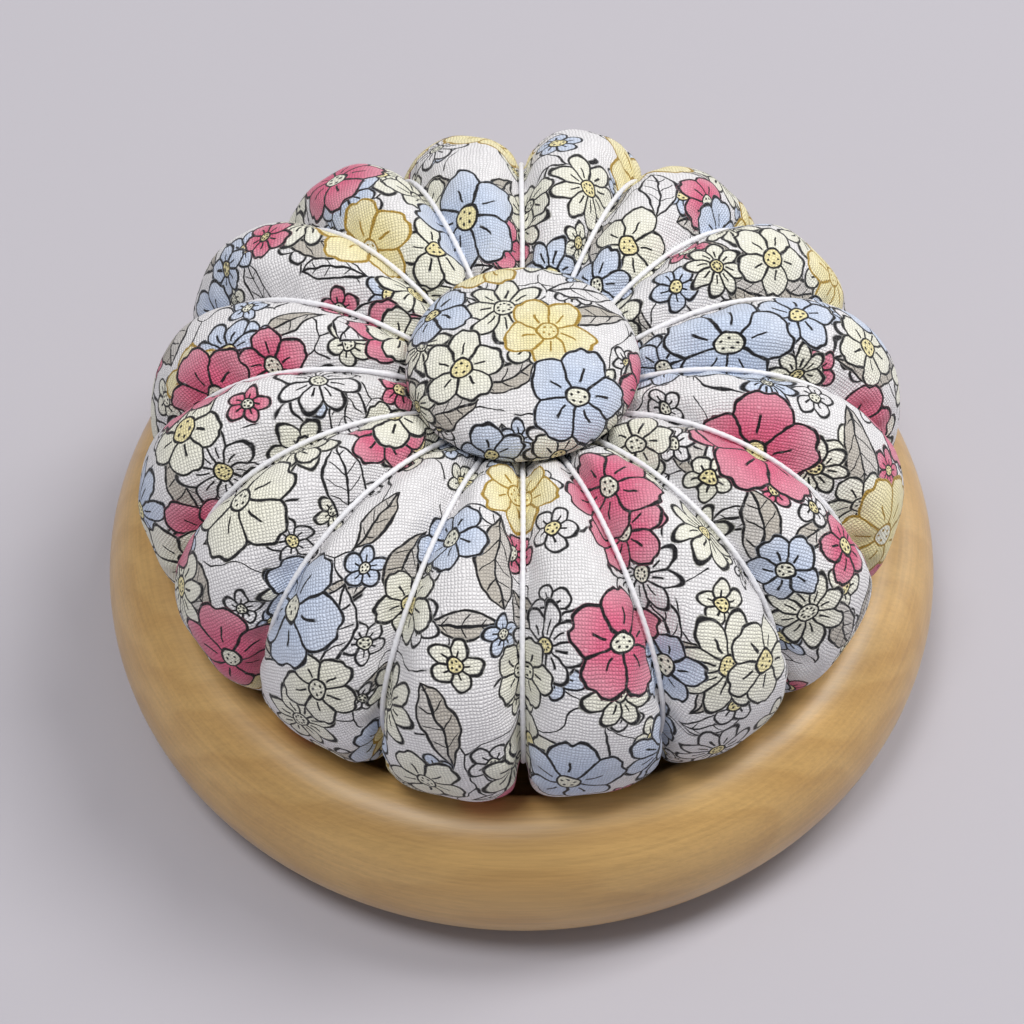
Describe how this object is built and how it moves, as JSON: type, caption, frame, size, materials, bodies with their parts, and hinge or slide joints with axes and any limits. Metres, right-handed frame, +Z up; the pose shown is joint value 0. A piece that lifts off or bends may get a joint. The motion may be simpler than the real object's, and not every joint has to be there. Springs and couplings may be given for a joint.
{
  "type": "pin cushion",
  "caption": "Round stuffed cotton pin cushion drawn into lobes by white thread, with a covered button on top, glued into a turned wooden dish.",
  "frame": {"origin": "centre of the flat foot of the wooden base, on the axis of turning", "axes": "+Z up along the axis of turning, from the foot to the button; a thread loop lies along +X, and the picture was taken from the -Y side"},
  "size_m": [0.08, 0.08, 0.0418],
  "materials": {
    "turned_wood": "satin lacquer",
    "hot_glue": "satin",
    "printed_cotton": "plain weave, floral print",
    "polyester_wadding": "fibrous",
    "white_thread": "twisted cotton",
    "button_steel": "stamped"
  },
  "bodies": {
    "root": {"wooden_base": "turned_wood", "glue_pad": "hot_glue", "cushion_cover": "printed_cotton", "cushion_filling": "polyester_wadding", "thread_loop_01": "white_thread", "thread_loop_02": "white_thread", "thread_loop_03": "white_thread", "thread_loop_04": "white_thread", "thread_loop_05": "white_thread", "thread_loop_06": "white_thread", "thread_loop_07": "white_thread", "thread_loop_08": "white_thread", "thread_loop_09": "white_thread", "thread_loop_10": "white_thread", "thread_loop_11": "white_thread", "thread_loop_12": "white_thread", "thread_loop_13": "white_thread", "thread_loop_14": "white_thread", "thread_loop_15": "white_thread", "thread_loop_16": "white_thread", "button_cover": "printed_cotton", "button_dome": "button_steel", "button_back": "button_steel", "button_eye": "button_steel", "button_tie": "white_thread", "tie_knot": "white_thread"}
  },
  "joints": []
}
